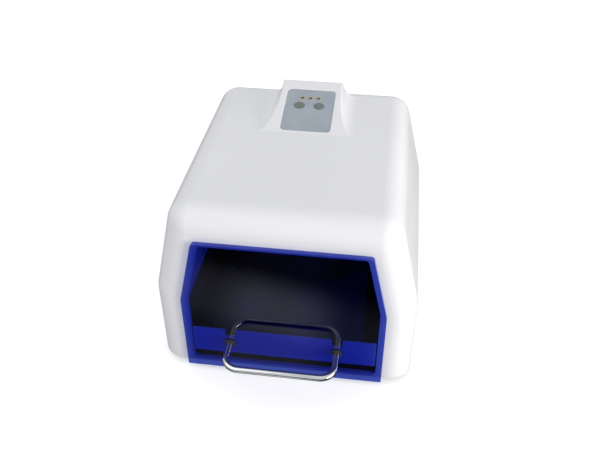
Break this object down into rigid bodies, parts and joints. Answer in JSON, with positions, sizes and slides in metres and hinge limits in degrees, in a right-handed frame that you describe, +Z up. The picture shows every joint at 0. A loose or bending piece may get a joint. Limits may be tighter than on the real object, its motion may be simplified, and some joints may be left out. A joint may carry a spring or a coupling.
{
  "type": "light curing unit",
  "caption": "Bench-top light curing unit with a white leaning hood, a timer pod with keys and lamps, and a drawer with a clear blue front and a chromed bow handle",
  "frame": {"origin": "on the table, under the middle of the overall box, drawer shut", "axes": "+X to the right seen from the front, +Y from the drawer front to the back, +Z up"},
  "size_m": [0.23, 0.2934, 0.1922],
  "materials": {
    "shell_white": "white moulded plastic, satin",
    "blue_acrylic": "clear blue acrylic sheet, polished",
    "bright_chrome": "bright chromed rod",
    "black_rubber": "black rubber",
    "base_steel": "pale grey painted sheet steel",
    "zinc_steel": "zinc plated screws",
    "bracket_black": "black powder coat",
    "strip_white": "white moulded plastic",
    "spring_steel": "spring steel",
    "reflector_white": "white painted sheet, glossy",
    "lamp_white": "white moulded lamp cap",
    "lamp_glass": "glass tube, pale coating inside",
    "socket_white": "white moulded plastic",
    "tray_dark": "dark moulded plastic",
    "liner_dark": "dark coated plate, satin",
    "magnet": "nickel plated magnet",
    "label_film": "grey-blue printed film, left blank",
    "key_grey": "dark grey-green key caps",
    "lamp_lens": "dark lamp domes, unlit",
    "bezel_pale": "pale yellowish rings",
    "board_green": "green circuit board",
    "spacer_nylon": "natural nylon",
    "rail_nylon": "black acetal",
    "runner_black": "black acetal",
    "black_plastic": "black moulded plastic",
    "rocker_black": "black moulded rocker",
    "panel_grey": "pale grey painted sheet steel",
    "pin_brass": "plated brass",
    "glass_tube": "glass fuse",
    "ballast_steel": "varnished laminated core",
    "winding_copper": "taped copper winding",
    "transformer_black": "black moulded case",
    "relay_blue": "blue moulded case",
    "lead_pvc": "grey insulated leads"
  },
  "bodies": {
    "housing": {"hood": "shell_white", "hood_front": "shell_white", "base_plate": "base_steel", "base_fasteners": "zinc_steel", "chamber_screws": "zinc_steel", "reflector": "reflector_white", "bulkhead": "reflector_white", "lamp_caps": "lamp_white", "lamp_sockets": "socket_white", "lamp_clips": "spring_steel", "drawer_bumpers": "black_rubber", "drawer_sensor": "black_plastic", "timer_label": "label_film", "tact_switches": "black_plastic", "timer_board": "board_green", "board_spacers": "spacer_nylon", "indicator_lamps": "lamp_lens", "indicator_bezels": "bezel_pale", "board_connectors": "socket_white", "rear_panel": "panel_grey", "rear_panel_screws": "zinc_steel", "mains_inlet": "black_plastic", "inlet_pins": "pin_brass", "switch_frame": "black_plastic", "ballasts": "ballast_steel", "ballast_windings": "winding_copper", "compartment_screws": "zinc_steel", "power_board": "board_green", "transformer": "transformer_black", "relay": "relay_blue", "terminal_block": "socket_white", "leads": "lead_pvc", "side_bracket_right": "bracket_black", "side_bracket_left": "bracket_black", "guide_rail_right": "rail_nylon", "guide_rail_left": "rail_nylon", "feet": "black_rubber", "lamp_tube_left": "lamp_glass", "lamp_tube_top_left": "lamp_glass", "lamp_tube_top_right": "lamp_glass", "lamp_tube_right": "lamp_glass"},
    "drawer": {"drawer_front": "blue_acrylic", "drawer_handle": "bright_chrome", "handle_washers": "black_rubber", "handle_screws": "zinc_steel", "drawer_strip": "strip_white", "drawer_tray": "tray_dark", "tray_liner": "liner_dark", "drawer_runner_left": "runner_black", "drawer_runner_right": "runner_black", "runner_screws": "zinc_steel", "drawer_magnet": "magnet"},
    "left_key": {"key_left": "key_grey", "key_plunger_left": "runner_black"},
    "right_key": {"key_right": "key_grey", "key_plunger_right": "runner_black"},
    "rocker": {"switch_rocker": "rocker_black"},
    "fuse_carrier": {"fuse_drawer": "black_plastic", "fuse": "glass_tube"}
  },
  "joints": [
    {"name": "drawer_slide", "type": "slide", "parent": "housing", "child": "drawer", "axis": [0, -1, 0], "range_m": [0, 0.145]},
    {"name": "left_key_press", "type": "slide", "parent": "housing", "child": "left_key", "axis": [0, 0.225, -0.9744], "range_m": [0, 0.0005], "stiffness_N_per_m": 600, "springref_m": -0.0005},
    {"name": "right_key_press", "type": "slide", "parent": "housing", "child": "right_key", "axis": [0, 0.225, -0.9744], "range_m": [0, 0.0005], "stiffness_N_per_m": 600, "springref_m": -0.0005},
    {"name": "rocker_tilt", "type": "hinge", "parent": "housing", "child": "rocker", "pos_m": [0, 0.1415, 0.046], "axis": [1, 0, 0], "range_deg": [0, 14]},
    {"name": "fuse_slide", "type": "slide", "parent": "housing", "child": "fuse_carrier", "axis": [0, 1, 0], "range_m": [0, 0.012]}
  ]
}
